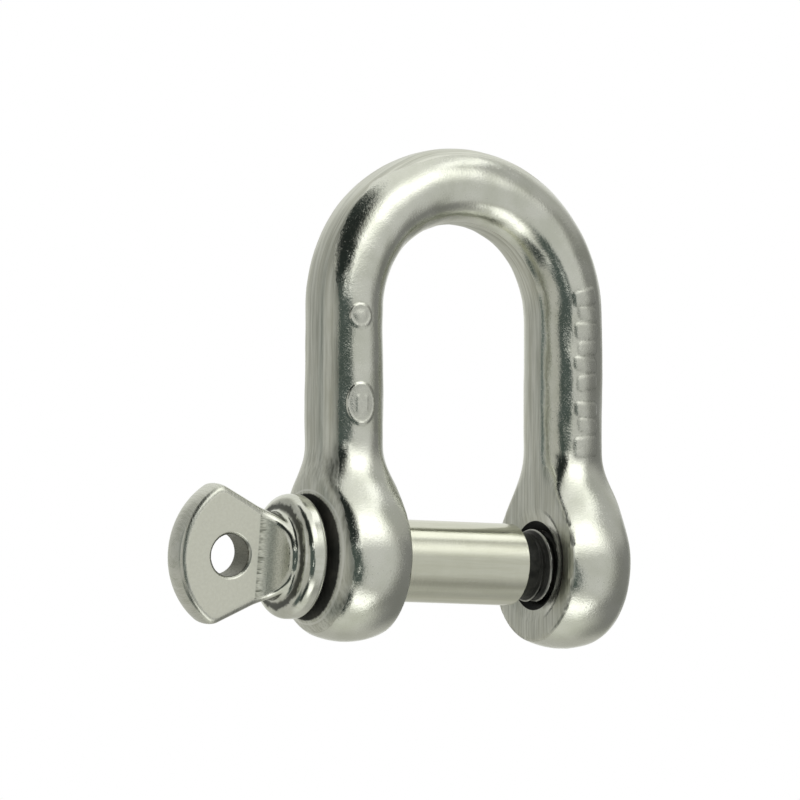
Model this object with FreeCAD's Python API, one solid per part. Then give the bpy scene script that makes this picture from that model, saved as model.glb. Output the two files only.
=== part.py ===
import FreeCAD, Part
import math
import os

# Dee shackle with a screw pin, nominal size 8 mm. Units are millimetres.
# Origin: on the pin's axis, midway between the two ears.
# +X runs along the pin from its spade head to its threaded end, +Z points up to the crown.

# Bow: one forged bar, bent into a U, with an eye at the end of each leg
BAR_R = 4.0                 # radius of the bar
LEG_X = 12.4                # centre of a leg, and radius of the crown's centre line
CROWN_Z = 24.7              # centre of the crown's bend
CROWN_FLAT = 3.81           # the trimmed outside of the bar, from its centre line
JAW_HALF = 9.03             # half of the jaw, from the middle to an ear's inner face
EAR_T = 8.0                 # thickness of an ear
EAR_R = 8.15                # radius of the ball that an ear is flattened from
EAR_INNER_ROUND = 0.6       # rounding of an ear's rim on the jaw side
EAR_OUTER_ROUND = 2.2       # rounding of an ear's rim on the outside
EAR_FACE = JAW_HALF + EAR_T

# Raised pads on the front of the legs, where a maker would put marks; they are left blank
PAD_RISE = 0.18
ROUND_PAD = (1.2, 1.2)      # half width, half height
OVAL_PAD = (1.45, 2.05)
BAR_PAD = (1.7, 8.6)
ROUND_PAD_Z = 23.5
OVAL_PAD_Z = 14.9
BAR_PAD_Z = 18.95
ROUND_PAD_TURN = -9.0       # degrees round the leg from straight ahead, towards -X
OVAL_PAD_TURN = -8.0
BAR_PAD_TURN = 4.0

# Screw pin
PIN_R = 4.05                # smooth shank, which the load hangs on
BORE_CLEARANCE = 0.06       # running clearance of the shank and of the thread, radial
PITCH = 1.25                # advance in one turn
COLLAR_GAP = 0.645          # collar to ear at rest: half a turn, and 0.02 when tight
SHOULDER_X = 6.41           # end of the smooth shank at rest
NECK_R = 3.2                # plain neck between shank and thread
NECK_L = 1.5
THREAD_R = 3.6              # crest radius of the thread
THREAD_DEPTH = 0.45
THREAD_END_X = 16.45
END_CHAMFER = 0.5
SHOULDER_CHAMFER = 0.15     # at the end of the smooth shank
MOUTH_R = 4.45              # countersunk mouth of the threaded ear
MOUTH_DEPTH = 0.55
DISH_R = 5.7                # shallow dish that was faced round the mouth
DISH_DEPTH = 0.18
OUTER_CHAMFER = 0.35        # chamfer of the bores at the other faces

# Head of the pin: collar, waist, then a cone milled flat on both sides
COLLAR_R = 6.1
COLLAR_T = 2.35
COLLAR_ROUND = 1.15         # on the head's side
COLLAR_SEAT_ROUND = 0.6     # on the ear's side
WAIST_R = 4.15
WAIST_L = 1.5
CONE_END_R = 7.0
HEAD_L = 13.95              # from the collar's ear side to the outer end
DOME_R = 8.0                # the outer end is part of a sphere
CORNER_ROUND = 0.4          # between the outer end and the cone
SPADE_T = 3.3               # thickness between the milled flats
FLAT_END = 5.5              # where the flats end, from the collar's ear side
RUNOUT_R = 2.3              # radius of the milling cutter's run-out
HOLE_R = 2.05               # hole for a bar or a lock wire
HOLE_FROM_END = 5.5
HOLE_CHAMFER = 0.25
SPADE_TURN = 8.0            # how far the flats stand turned from upright, degrees

X_AXIS = FreeCAD.Vector(1, 0, 0)
Y_AXIS = FreeCAD.Vector(0, 1, 0)
Z_AXIS = FreeCAD.Vector(0, 0, 1)
ORIGIN = FreeCAD.Vector(0, 0, 0)


def vec(x, y, z):
    return FreeCAD.Vector(x, y, z)


def rod(radius, x0, x1):
    """A cylinder on the pin's axis from x0 to x1."""
    return Part.makeCylinder(radius, x1 - x0, vec(x0, 0, 0), X_AXIS)


def cone(r0, r1, x0, x1):
    """A cone on the pin's axis, radius r0 at x0 and r1 at x1."""
    return Part.makeCone(r0, r1, x1 - x0, vec(x0, 0, 0), X_AXIS)


def turned(points):
    """A solid turned about the pin's axis from (x, radius) points joined by straight lines."""
    wire = Part.makePolygon([vec(x, 0, r) for x, r in points + points[:1]])
    return Part.Face(wire).revolve(ORIGIN, X_AXIS, 360)


def rounded_disc(radius, x0, x1, round0, round1):
    """A disc on the pin's axis with rounded rims, round0 at x0 and round1 at x1."""
    c0 = vec(x0 + round0 * (1 - math.sqrt(0.5)), 0, radius - round0 * (1 - math.sqrt(0.5)))
    c1 = vec(x1 - round1 * (1 - math.sqrt(0.5)), 0, radius - round1 * (1 - math.sqrt(0.5)))
    edges = [
        Part.makeLine(vec(x0, 0, 0), vec(x0, 0, radius - round0)),
        Part.Arc(vec(x0, 0, radius - round0), c0, vec(x0 + round0, 0, radius)).toShape(),
        Part.makeLine(vec(x0 + round0, 0, radius), vec(x1 - round1, 0, radius)),
        Part.Arc(vec(x1 - round1, 0, radius), c1, vec(x1, 0, radius - round1)).toShape(),
        Part.makeLine(vec(x1, 0, radius - round1), vec(x1, 0, 0)),
        Part.makeLine(vec(x1, 0, 0), vec(x0, 0, 0)),
    ]
    return Part.Face(Part.Wire(edges)).revolve(ORIGIN, X_AXIS, 360)


def mirrored(shape):
    """The same shape on the other side of the shackle's middle."""
    return shape.mirror(ORIGIN, X_AXIS)


def make_bar():
    """Two legs and the crown as a round bar, trimmed flat along its outside and inside."""
    foot = EAR_R * 0.5
    leg = Part.makeCylinder(BAR_R, CROWN_Z - foot, vec(LEG_X, 0, foot), Z_AXIS)
    ring = Part.makeTorus(LEG_X, BAR_R, vec(0, 0, CROWN_Z), Y_AXIS)
    above = Part.makeBox(60, 60, 40, vec(-30, -30, CROWN_Z))
    bar = ring.common(above).fuse([leg, mirrored(leg)])

    outer_r = LEG_X + CROWN_FLAT
    outside = Part.makeCylinder(outer_r, 20, vec(0, -10, CROWN_Z), Y_AXIS)
    outside = outside.fuse(Part.makeBox(2 * outer_r, 20, CROWN_Z, vec(-outer_r, -10, 0)))
    inner_z = LEG_X - CROWN_FLAT
    ellipse = Part.Ellipse(vec(0, -12, CROWN_Z), JAW_HALF, inner_z).toShape()
    ellipse.rotate(vec(0, -12, CROWN_Z), X_AXIS, 90)
    inside = Part.Face(Part.Wire([ellipse])).extrude(vec(0, 24, 0))
    inside = inside.fuse(Part.makeBox(2 * JAW_HALF, 24, CROWN_Z + 1, vec(-JAW_HALF, -12, -1)))
    return bar.common(outside).cut(inside)


def oval(z, x_centre, half_x, half_y):
    """A closed oval at height z, used as a section of the blend from ear to leg."""
    if half_y >= half_x:
        curve = Part.Ellipse(vec(0, 0, 0), half_y, half_x)
        turn = 90
    else:
        curve = Part.Ellipse(vec(0, 0, 0), half_x, half_y)
        turn = 0
    edge = curve.toShape()
    edge.rotate(ORIGIN, Z_AXIS, turn)
    edge.translate(vec(x_centre, 0, z))
    return Part.Wire([edge])


def make_neck():
    """The smooth swelling from a leg down into its ear."""
    ear_x = JAW_HALF + EAR_T / 2
    sections = [
        oval(3.0, ear_x, EAR_T / 2 - 0.05, 7.4),
        oval(5.4, ear_x, EAR_T / 2 - 0.05, 6.35),
        oval(7.6, ear_x - 0.15, EAR_T / 2 - 0.08, 5.1),
        oval(9.6, LEG_X + 0.15, BAR_R - 0.02, 4.3),
        oval(12.0, LEG_X, BAR_R - 0.01, BAR_R - 0.01),
    ]
    neck = Part.makeLoft(sections, True, False)
    jaw = Part.makeBox(2 * JAW_HALF, 40, 40, vec(-JAW_HALF, -20, -10))
    return neck.cut(jaw)


def make_pad(leg_x, z, turn, size):
    """A low raised pad on the front of a leg, following the bar's curve."""
    half_w, half_h = size
    skin = Part.makeCylinder(BAR_R + PAD_RISE, 2 * half_h + 2, vec(0, 0, -half_h - 1), Z_AXIS)
    if half_h > 3 * half_w:
        end = half_h - half_w
        edges = [
            Part.makeLine(vec(half_w, -end, 0), vec(half_w, end, 0)),
            Part.Arc(vec(half_w, end, 0), vec(0, half_h, 0), vec(-half_w, end, 0)).toShape(),
            Part.makeLine(vec(-half_w, end, 0), vec(-half_w, -end, 0)),
            Part.Arc(vec(-half_w, -end, 0), vec(0, -half_h, 0), vec(half_w, -end, 0)).toShape(),
        ]
    elif half_h > half_w:
        oval_edge = Part.Ellipse(ORIGIN, half_h, half_w).toShape()
        oval_edge.rotate(ORIGIN, Z_AXIS, 90)
        edges = [oval_edge]
    else:
        edges = [Part.Circle(ORIGIN, Z_AXIS, half_w).toShape()]
    outline = Part.Wire(edges)
    outline.rotate(ORIGIN, X_AXIS, 90)
    stamp = Part.Face(outline).extrude(vec(0, -8, 0))
    pad = skin.common(stamp)
    pad.rotate(ORIGIN, Z_AXIS, turn)
    pad.translate(vec(leg_x, 0, z))
    return pad


def make_ear():
    """A ball on the bar's centre line, flattened on both sides."""
    slab = Part.makeBox(EAR_T, 40, 40, vec(JAW_HALF, -20, -20))
    ear = Part.makeSphere(EAR_R, vec(LEG_X, 0, 0)).common(slab)
    for x, rounding in ((JAW_HALF, EAR_INNER_ROUND), (EAR_FACE, EAR_OUTER_ROUND)):
        rim = [e for e in ear.Edges if abs(e.BoundBox.XMin - x) < 0.01 and abs(e.BoundBox.XMax - x) < 0.01]
        ear = ear.makeFillet(rounding, rim)
    return ear


def make_bow():
    ear = make_ear()
    neck = make_neck()
    pads = [
        make_pad(-LEG_X, ROUND_PAD_Z, ROUND_PAD_TURN, ROUND_PAD),
        make_pad(-LEG_X, OVAL_PAD_Z, OVAL_PAD_TURN, OVAL_PAD),
        make_pad(LEG_X, BAR_PAD_Z, BAR_PAD_TURN, BAR_PAD),
    ]
    bow = make_bar().fuse([ear, mirrored(ear), neck, mirrored(neck)] + pads)

    # plain bore in the ear by the head, and its chamfers
    plain_r = PIN_R + BORE_CLEARANCE
    bore = rod(plain_r, -EAR_FACE - 1, -JAW_HALF + 1)
    rim = plain_r + OUTER_CHAMFER
    bore = bore.fuse(cone(rim, plain_r, -EAR_FACE, -EAR_FACE + OUTER_CHAMFER))
    bore = bore.fuse(cone(plain_r, rim, -JAW_HALF - OUTER_CHAMFER, -JAW_HALF))
    # the threaded bore, at the thread's crest, with a dished and countersunk mouth on the jaw side
    tapped_r = THREAD_R + BORE_CLEARANCE
    tapped = rod(tapped_r, JAW_HALF - 1, EAR_FACE + 1)
    mouth_x = JAW_HALF + DISH_DEPTH
    dish = cone(DISH_R, MOUTH_R, JAW_HALF, mouth_x)
    mouth = cone(MOUTH_R, tapped_r, mouth_x, mouth_x + MOUTH_DEPTH)
    far = cone(tapped_r, tapped_r + OUTER_CHAMFER, EAR_FACE - OUTER_CHAMFER, EAR_FACE)
    tapped = tapped.fuse([dish, mouth, far])
    return bow.cut(bore).cut(tapped).removeSplitter()


def make_screw_pin():
    """The pin's head, collar and smooth shank."""
    seat = -EAR_FACE - COLLAR_GAP
    end = seat - HEAD_L
    waist = seat - COLLAR_T
    cone_start = waist - WAIST_L
    cone_end = end + DOME_R - math.sqrt(DOME_R ** 2 - CONE_END_R ** 2)

    collar = rounded_disc(COLLAR_R, waist, seat, COLLAR_ROUND, COLLAR_SEAT_ROUND)
    blank = turned([
        (end, 0), (end, CONE_END_R), (cone_end, CONE_END_R), (cone_start, WAIST_R),
        (waist + 0.5, WAIST_R), (waist + 0.5, 0),
    ])
    dome = Part.makeSphere(DOME_R, vec(end + DOME_R, 0, 0))
    blank = blank.common(dome.fuse(rod(2 * DOME_R, end + DOME_R, waist + 1)))
    rim = [e for e in blank.Edges if abs(e.BoundBox.XMax - cone_end) < 0.01 and e.BoundBox.ZLength > 1]
    blank = blank.makeFillet(CORNER_ROUND, rim)

    # two flats, each ending in the round of the cutter
    flat_stop = seat - FLAT_END
    blank_side = Part.makeBox(flat_stop - end + 1, 20, 40, vec(end - 1, -20 - SPADE_T / 2, -20))
    runout = Part.makeCylinder(
        RUNOUT_R, 40, vec(flat_stop, -SPADE_T / 2 - RUNOUT_R, -20), Z_AXIS)
    cutter = blank_side.fuse(runout)
    blank = blank.cut(cutter).cut(cutter.mirror(ORIGIN, Y_AXIS))

    hole_x = end + HOLE_FROM_END
    hole = Part.makeCylinder(HOLE_R, 20, vec(hole_x, -10, 0), Y_AXIS)
    half = SPADE_T / 2
    for side in (-1, 1):
        sink = Part.makeCone(
            HOLE_R + HOLE_CHAMFER + 0.5, HOLE_R, HOLE_CHAMFER + 0.5,
            vec(hole_x, side * (half + 0.5), 0), vec(0, -side, 0))
        hole = hole.fuse(sink)
    blank = blank.cut(hole)
    blank.rotate(ORIGIN, X_AXIS, SPADE_TURN)

    shank = rod(PIN_R, seat, SHOULDER_X - SHOULDER_CHAMFER)
    tip = cone(PIN_R, PIN_R - SHOULDER_CHAMFER, SHOULDER_X - SHOULDER_CHAMFER, SHOULDER_X)
    return blank.fuse([collar, shank, tip]).removeSplitter()


def make_pin_neck():
    """The plain neck between the smooth shank and the thread."""
    return rod(NECK_R, SHOULDER_X, SHOULDER_X + NECK_L)


def make_pin_thread():
    """The threaded end, as rings of the thread's pitch and depth."""
    start = SHOULDER_X + NECK_L
    root = THREAD_R - THREAD_DEPTH
    crests = int((THREAD_END_X - END_CHAMFER - start) / PITCH)
    points = [(start, 0), (start, root)]
    for i in range(crests):
        x = start + i * PITCH
        points += [
            (x + 0.10 * PITCH, root), (x + 0.42 * PITCH, THREAD_R),
            (x + 0.58 * PITCH, THREAD_R), (x + 0.90 * PITCH, root),
        ]
    points += [(THREAD_END_X, root), (THREAD_END_X, 0)]
    return turned(points)


def main():
    os.makedirs("parts", exist_ok=True)
    parts = {
        "bow": make_bow(),
        "screw_pin": make_screw_pin(),
        "pin_neck": make_pin_neck(),
        "pin_thread": make_pin_thread(),
    }
    for name, shape in parts.items():
        solids = shape.Solids
        solid = solids[0] if len(solids) == 1 else shape
        solid.exportStep("parts/" + name + ".step")


main()
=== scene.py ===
"""Dee shackle with a screw pin: the looks that ride on the CAD frame. Mesh lengths are in millimetres."""
import math

import bpy
import numpy as np
from mathutils import Matrix, Vector


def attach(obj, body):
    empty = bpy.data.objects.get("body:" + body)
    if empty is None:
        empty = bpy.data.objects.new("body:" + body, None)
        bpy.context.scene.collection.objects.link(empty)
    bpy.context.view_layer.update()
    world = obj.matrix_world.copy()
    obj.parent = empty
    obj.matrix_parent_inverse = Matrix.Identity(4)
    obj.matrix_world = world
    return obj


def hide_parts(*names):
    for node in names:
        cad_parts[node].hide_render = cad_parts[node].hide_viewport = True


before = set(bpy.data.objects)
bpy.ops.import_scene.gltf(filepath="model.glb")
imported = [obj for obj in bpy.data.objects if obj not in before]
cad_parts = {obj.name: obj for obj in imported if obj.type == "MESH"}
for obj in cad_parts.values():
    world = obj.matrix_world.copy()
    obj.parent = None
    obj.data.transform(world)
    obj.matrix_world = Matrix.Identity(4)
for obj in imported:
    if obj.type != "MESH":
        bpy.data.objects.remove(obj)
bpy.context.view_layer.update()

MM = 0.001

# ---------------------------------------------------------------- sizes, as in the CAD
BAR_R, LEG_X, CROWN_Z = 4.0, 12.4, 24.7
CROWN_FLAT, JAW_HALF, EAR_T, EAR_R = 3.81, 9.03, 8.0, 8.15
EAR_FACE = JAW_HALF + EAR_T
EAR_X = JAW_HALF + EAR_T / 2
QUARTER = LEG_X * math.pi / 2     # length of half the crown's bend
CROWN_TOP = CROWN_Z + QUARTER     # length along the bow from the pin's level to the crown's top
PIN_R, CLEARANCE, PITCH = 4.05, 0.06, 1.25
COLLAR_GAP, SHOULDER_X, NECK_L = 0.645, 6.41, 1.5
THREAD_START = SHOULDER_X + NECK_L
THREAD_R, THREAD_DEPTH, THREAD_END_X, END_CHAMFER = 3.6, 0.45, 16.45, 0.5
MOUTH_R, MOUTH_DEPTH, OUTER_CHAMFER = 4.45, 0.55, 0.35
DISH_R, DISH_DEPTH, SHOULDER_CHAMFER = 5.7, 0.18, 0.15
COLLAR_R, COLLAR_T, COLLAR_ROUND, COLLAR_SEAT_ROUND = 6.1, 2.35, 1.15, 0.6
WAIST_R, WAIST_L = 4.15, 1.5
CONE_END_R, HEAD_L, DOME_R, SPADE_T = 7.0, 13.95, 8.0, 3.3
FLAT_END, RUNOUT_R, HOLE_R, HOLE_FROM_END, HOLE_CHAMFER = 5.5, 2.3, 2.05, 5.5, 0.25
SPADE_TURN = math.radians(8.0)
SEAT = -EAR_FACE - COLLAR_GAP     # the collar's face towards the ear
COLLAR_BACK = SEAT - COLLAR_T
HEAD_END = SEAT - HEAD_L
HOLE_X = HEAD_END + HOLE_FROM_END
FLAT_STOP = SEAT - FLAT_END       # where the spade's flats end and the cutter ran out

# ---------------------------------------------------------------- fields and meshes


def smooth_min(a, b, k):
    """The smaller of a and b, rounded over where they differ by less than k."""
    h = np.maximum(k - np.abs(a - b), 0) / k
    return np.minimum(a, b) - h * h * k / 4


def smooth_max(a, b, k):
    """The larger of a and b, rounded over where they differ by less than k."""
    return -smooth_min(-a, -b, k)


def step(t):
    """0 up to t = 0 and 1 from t = 1 on, with a soft passage between."""
    t = np.clip(t, 0, 1)
    return t * t * (3 - 2 * t)


def passage(value, none, full):
    """0 where value is at none or beyond it, and 1 where it is at full or beyond it."""
    return step((value - none) / (full - none))


def waves(u, v, seed, length):
    """Soft unevenness of about -1 to 1 over the plane u, v, with features of about that length."""
    count, usual_peak = 7, 3.2
    rng = np.random.RandomState(seed)
    total = 0
    for _ in range(count):
        angle, phase, stretch = rng.uniform(0, math.tau, 2).tolist() + [rng.uniform(0.7, 1.5)]
        k = math.tau / (length * stretch)
        total = total + np.sin(k * (u * math.cos(angle) + v * math.sin(angle)) + phase)
    return total / usual_peak


def spans(*parts):
    """Values from part to part, each (start, end, spacing), without each part's end."""
    out = []
    for start, end, spacing in parts:
        count = max(2, int(round(abs(end - start) / spacing)))
        out.append(np.linspace(start, end, count, endpoint=False))
    return np.concatenate(out)


def build(name, verts, quads, tris=()):
    """A smooth-shaded mesh object from corners in millimetres."""
    mesh = bpy.data.meshes.new(name)
    quads = np.asarray(quads, np.int32).reshape(-1, 4)
    tris = np.asarray(tris, np.int32).reshape(-1, 3)
    corners = np.concatenate([quads.ravel(), tris.ravel()])
    starts = np.concatenate([np.arange(len(quads)) * 4, len(quads) * 4 + np.arange(len(tris)) * 3])
    mesh.vertices.add(len(verts))
    mesh.vertices.foreach_set("co", (np.asarray(verts) * MM).astype(np.float32).ravel())
    mesh.loops.add(len(corners))
    mesh.loops.foreach_set("vertex_index", corners.astype(np.int32))
    mesh.polygons.add(len(starts))
    mesh.polygons.foreach_set("loop_start", starts.astype(np.int32))
    mesh.polygons.foreach_set("use_smooth", np.ones(len(starts), bool))
    mesh.update(calc_edges=True)
    mesh.validate()
    obj = bpy.data.objects.new(name, mesh)
    bpy.context.scene.collection.objects.link(obj)
    return obj


def rings_to_mesh(name, rings, start, end):
    """A closed tube through rings of points (stations, around, 3), with one point closing each end."""
    n, m = rings.shape[:2]
    index = np.arange(n * m).reshape(n, m)
    a, b = index[:-1], index[1:]
    quads = np.stack([a, np.roll(a, -1, 1), np.roll(b, -1, 1), b], -1)
    first, last = index[0], index[-1]
    tris = np.concatenate([
        np.stack([np.full(m, n * m), np.roll(first, -1), first], -1),
        np.stack([np.full(m, n * m + 1), last, np.roll(last, -1)], -1),
    ])
    verts = np.concatenate([rings.reshape(-1, 3), [start, end]])
    return build(name, verts, quads, tris)


def lathe(name, profile, around=96, shape=None):
    """A solid turned about the pin's axis from (x, radius) stations.

    shape(x, turn, radius), if given, returns the radius to use instead.
    """
    x, r = np.array(profile, float).T
    angle = np.linspace(0, math.tau, around, endpoint=False)
    xs, turn = np.meshgrid(x, angle, indexing="ij")
    radius = np.repeat(r[:, None], around, 1)
    if shape is not None:
        radius = shape(xs, turn, radius)
    rings = np.stack([xs, radius * np.cos(turn), radius * np.sin(turn)], -1)
    return rings_to_mesh(name, rings, (x[0], 0, 0), (x[-1], 0, 0))


def points_of(obj):
    """The mesh's corners in millimetres."""
    co = np.zeros(len(obj.data.vertices) * 3, np.float32)
    obj.data.vertices.foreach_get("co", co)
    return co.reshape(-1, 3).astype(float) / MM


def give(obj, name, values):
    """A value or vector for each vertex, for the materials to read."""
    kind, key = ("FLOAT", "value") if values.ndim == 1 else ("FLOAT_VECTOR", "vector")
    attribute = obj.data.attributes.new(name, kind, "POINT")
    attribute.data.foreach_set(key, values.astype(np.float32).ravel())


def cut(obj, cutter):
    """Takes cutter's volume out of obj and deletes cutter."""
    modifier = obj.modifiers.new("cut", "BOOLEAN")
    modifier.operation = "DIFFERENCE"
    modifier.solver = "MANIFOLD"
    modifier.object = cutter
    graph = bpy.context.evaluated_depsgraph_get()
    made = bpy.data.meshes.new_from_object(obj.evaluated_get(graph))
    obj.modifiers.clear()
    obj.data = made
    bpy.data.objects.remove(cutter)


# ---------------------------------------------------------------- the marks on the bow's legs

# the turns, in degrees round the bar, and the heights along the leg at which the marks have their middles
MEDAL_TURN, MEDAL_Z, MEDAL_R = -81, 23.5, 1.1
OVAL_TURN, OVAL_Z, OVAL_HALF_W, OVAL_HALF_H = -82, 14.9, 1.45, 2.05
ROW_TURN, ROW_Z, ROW_HALF_W, ROW_HALF_L, ROW_CORNER = -82, 18.95, 0.9, 8.1, 0.5
LAYER, OVAL_LAYER, ROW_LAYER, BLOCK_LAYER = 0.05, 0.06, 0.02, 0.075   # heights of the relief
RELIEF_SOFT, BORDER_HALF = 0.22, 0.08
# the last of these sets how dark the painted shade in the crease round each mark is
EXTENT_SOFT, CREASE_HALF, CREASE_SOFT, CREASE_DARKENING = 0.2, 0.03, 0.14, 0.7
OVAL_EVEN = 1.6                   # makes the oval's measure run in about millimetres
STROKE_SHIFT, STROKE_APART, STROKE_HALF_W, STROKE_HALF_H, STROKE_SOFT = 0.1, 0.42, 0.12, 0.75, 0.4
DOT_INSIDE, DOT_SOFT = 0.65, 0.7
BLOCK_CORNER, BLOCK_SOFT, ROW_SOFT = 0.30, 0.5, 0.8

# plain blocks instead of a load rating:
# place along the row, half height, place across, half width, slant
BLOCKS = [
    (-7.2, 0.90, -0.1, 1.00, 0.12), (-5.1, 0.60, 0.1, 0.80, -0.1), (-3.5, 0.60, 0.0, 1.00, 0.0),
    (-0.8, 0.65, 0.1, 0.90, 0.15), (0.95, 0.60, -0.1, 1.00, -0.1), (2.6, 0.60, 0.1, 0.80, 0.1),
    (4.3, 0.70, 0.0, 1.00, 0.0), (6.0, 0.55, 0.1, 0.80, -0.15), (7.6, 0.65, -0.1, 1.00, 0.1),
]


def fill(d, soft):
    """1 where the distance d is well below zero and 0 where it is well above."""
    return step(0.5 - d / soft)


def line(d, half_width, soft):
    """A line along which the distance d is zero."""
    return fill(np.abs(d) - half_width, soft)


def rounded_box(u, v, flat_u, flat_v, corner):
    """Distance to a rectangle with round corners, from the half lengths of its straight edges."""
    return np.hypot(np.maximum(np.abs(u) - flat_u, 0), np.maximum(np.abs(v) - flat_v, 0)) - corner


def medal(w, z):
    """A disc with a raised border and a dot: its height, its extent and the crease round it."""
    border_inside, extent_outside, crease_outside = 0.05, 0.1, 0.22
    d = np.hypot(w, z) - MEDAL_R
    border = line(d + border_inside, BORDER_HALF, RELIEF_SOFT)
    height = LAYER * (fill(d, RELIEF_SOFT) + border + fill(d + DOT_INSIDE, DOT_SOFT))
    crease = CREASE_DARKENING * line(d - crease_outside, CREASE_HALF, CREASE_SOFT)
    return height, fill(d - extent_outside, EXTENT_SOFT), crease


def oval(w, z):
    """An oval disc with a raised border and two bars: its height, its extent and the crease round it."""
    border_inside, crease_outside = 0.12, 0.12
    d = (np.hypot(w / OVAL_HALF_W, z / OVAL_HALF_H) - 1) * OVAL_EVEN
    border = line(d + border_inside, BORDER_HALF, RELIEF_SOFT)
    beside = np.abs(np.abs(w + STROKE_SHIFT) - STROKE_APART) - STROKE_HALF_W
    bars = fill(np.maximum(beside, np.abs(z) - STROKE_HALF_H), STROKE_SOFT)
    height = OVAL_LAYER * fill(d, RELIEF_SOFT) + LAYER * (border + bars)
    return height, fill(d, EXTENT_SOFT), CREASE_DARKENING * line(d - crease_outside, CREASE_HALF, CREASE_SOFT)


def block_row(w, z):
    """A low table with a row of plain blocks: its height, its extent and the creases round the blocks."""
    crease_outside, crease_half, crease_soft = 0.16, 0.04, 0.16
    blocks = crease = 0
    for at, half, beside, wide, slant in BLOCKS:
        along = z - at - slant * (w - beside)
        d = rounded_box(w - beside, along, wide, half - BLOCK_CORNER, BLOCK_CORNER)
        blocks = np.maximum(blocks, fill(d, BLOCK_SOFT))
        crease = np.maximum(crease, line(d - crease_outside, crease_half, crease_soft))
    table = fill(rounded_box(w, z, ROW_HALF_W, ROW_HALF_L, ROW_CORNER), ROW_SOFT)
    return ROW_LAYER * table + BLOCK_LAYER * blocks, table, crease


def relief(side, path, around):
    """Height, extent and creases of one leg's raised marks, at places along it and turns round it."""
    along, turn = np.meshgrid(path, np.degrees(around), indexing="ij")

    def mark(shape, middle_turn, middle_z):
        across = BAR_R * np.radians((turn - middle_turn + 180) % 360 - 180)
        return shape(across, along - middle_z)

    if side > 0:
        return mark(block_row, ROW_TURN, ROW_Z)
    pair = mark(medal, MEDAL_TURN, MEDAL_Z), mark(oval, OVAL_TURN, OVAL_Z)
    return [np.maximum(one, other) for one, other in zip(*pair)]


# ---------------------------------------------------------------- the bow

EAR_BLEND = 4.0                   # how far the ear's and the leg's surfaces run into each other
LEG_FOOT = 4.0                    # height at which the leg's bar ends, inside the ear
EDGE, EAR_EDGE, INNER_EDGE = 0.30, 1.20, 1.1       # softness of the ground edges
EAR_DOME_FROM, EAR_DOME_OVER, EAR_DOME = 4.0, 2.6, 0.5   # radius, width and drop of the ear's domed face
FRONT_ROUNDING, FRONT_FROM = 0.16, 1.0             # how the inside rounds towards the front, from where

# heights over the pin between which a shape changes: none of it at the first, all of it at the second
FACE_WIDENS, FACE_DOMES, OUTER_EDGE_SOFTENS = (11, 6), (8, 3), (10, 4)
FRONT_ROUNDS, INNER_EDGE_SOFTENS, RAYS_MOVE_OUT = (7, 11), (6, 12), (11, 2)

LONGEST_RAY, HALVINGS = 12.5, 26
SPACING, EAR_SPACING = 0.33, 0.036                 # of the rings, and in radians round the ear's foot
CROWN_FINE = 3.4                                   # length of crown next to the legs that is meshed finely
# stretches of each leg with finely spaced rings for the marks: top, bottom, spacing
FINE_RIGHT = [(CROWN_Z, 10.0, 0.16)]
FINE_LEFT = [(CROWN_Z, 22.0, 0.14), (17.2, 12.6, 0.14)]
AROUND = np.radians(spans((-115, -52, 1.2), (-52, 245, 2.3)))      # finer in front, at the marks

LARGE_WAVES, SMALL_WAVES = 0.040, 0.012            # heights of the forging's unevenness
LARGE_LENGTH, SMALL_LENGTH = 5.5, 2.4              # and how far its bumps lie apart
LARGE_STRETCH, SMALL_STRETCH, EAR_SHARE = 0.55, 0.7, 0.6
LARGE_SEED, SMALL_SEED = 3, 8
NEAR_EAR, GROUND_HALF_ANGLE = 9.0, math.radians(20)
FOOT_FADE_FROM, FOOT_FADE_TO = -12.5, -9.5         # no unevenness at the foot, where the rings close
BOW_SHARP, THREAD_SHARP = math.radians(30), math.radians(40)
OVERSHOOT = 0.5                                    # how far cutters reach out of the steel
TAP_OVERSHOOT, FAR_REACH = 0.6, 0.6
TAP_STATIONS, TAP_AROUND = 16, 72                  # mesh of the tapped bore, per pitch and per turn
THREAD_STATIONS, THREAD_AROUND = 20, 120           # and of the pin's thread
TAP_GAP, TAP_WIDER = 0.09, 0.17                    # the tap's clearance at the root and on the flanks
FLANK_START, FLANK_END, FLANK = 0.10, 0.90, 0.32   # the thread's profile, in parts of a pitch
MOUTH_TIP_L, MOUTH_TIP_DROP = 0.4, 0.55            # how far the mouth's cone goes on inside the bore


def bow_field(x, y, z):
    """Below zero inside the half of the bow at x > 0, without its bores."""
    rise = np.maximum(z - CROWN_Z, 0)
    out = np.hypot(x, rise)
    a = out - LEG_X
    bar = np.hypot(np.hypot(a, y), np.minimum(z - LEG_FOOT, 0)) - BAR_R
    ball = np.sqrt((x - LEG_X) ** 2 + y * y + z * z) - EAR_R
    body = smooth_min(bar, ball, EAR_BLEND)
    face = CROWN_FLAT + (EAR_FACE - LEG_X - CROWN_FLAT) * passage(z, *FACE_WIDENS)
    past = np.maximum(np.hypot(y, z) - EAR_DOME_FROM, 0) / EAR_DOME_OVER
    domed = EAR_DOME * past ** 2 * passage(z, *FACE_DOMES)
    outer_edge = EDGE + (EAR_EDGE - EDGE) * passage(z, *OUTER_EDGE_SOFTENS)
    body = smooth_max(body, a - face + domed, outer_edge)
    turn = np.arctan2(rise, x)
    inner_z = LEG_X - CROWN_FLAT
    hollow = 1 / np.sqrt((np.cos(turn) / JAW_HALF) ** 2 + (np.sin(turn) / inner_z) ** 2)
    rounding = FRONT_ROUNDING * np.maximum(-y - FRONT_FROM, 0) ** 2 * passage(z, *FRONT_ROUNDS)
    inner_edge = EDGE + (INNER_EDGE - EDGE) * passage(z, *INNER_EDGE_SOFTENS)
    return smooth_max(body, hollow + rounding - out, inner_edge)


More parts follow.
